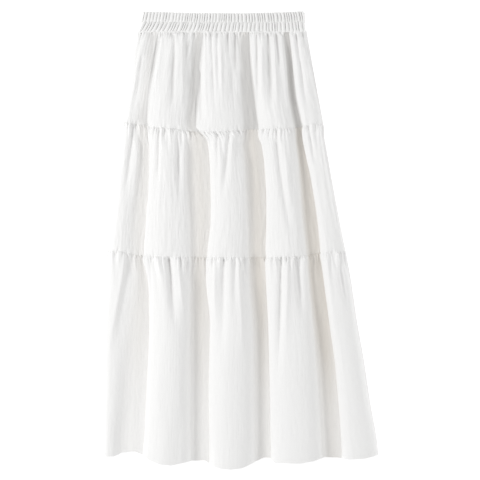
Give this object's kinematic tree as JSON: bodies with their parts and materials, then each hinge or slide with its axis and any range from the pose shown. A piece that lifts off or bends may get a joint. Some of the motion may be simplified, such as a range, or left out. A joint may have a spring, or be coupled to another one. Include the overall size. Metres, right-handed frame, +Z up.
{
  "type": "tiered ruffle skirt",
  "caption": "Long white skirt in gathered tiers under a gathered elastic waistband, laid flat with its front standing in soft flutes over a flat back; clothing worn from the waist.",
  "frame": {"origin": "middle of the footprint, on the surface that the skirt lies on", "axes": "+X to the right across the skirt as seen from above, +Y from the hem to the waistband, +Z up off the surface, out of the front panels"},
  "size_m": [0.5549, 0.9157, 0.0385],
  "materials": {
    "cotton": "matt off-white crinkled cotton with fine upright crepe lines"
  },
  "bodies": {
    "root": {"waistband_front": "cotton", "waistband_back": "cotton", "tier_1_front": "cotton", "tier_1_back": "cotton", "tier_2_front": "cotton", "tier_2_back": "cotton", "tier_3_front": "cotton", "tier_3_back": "cotton"}
  },
  "joints": []
}
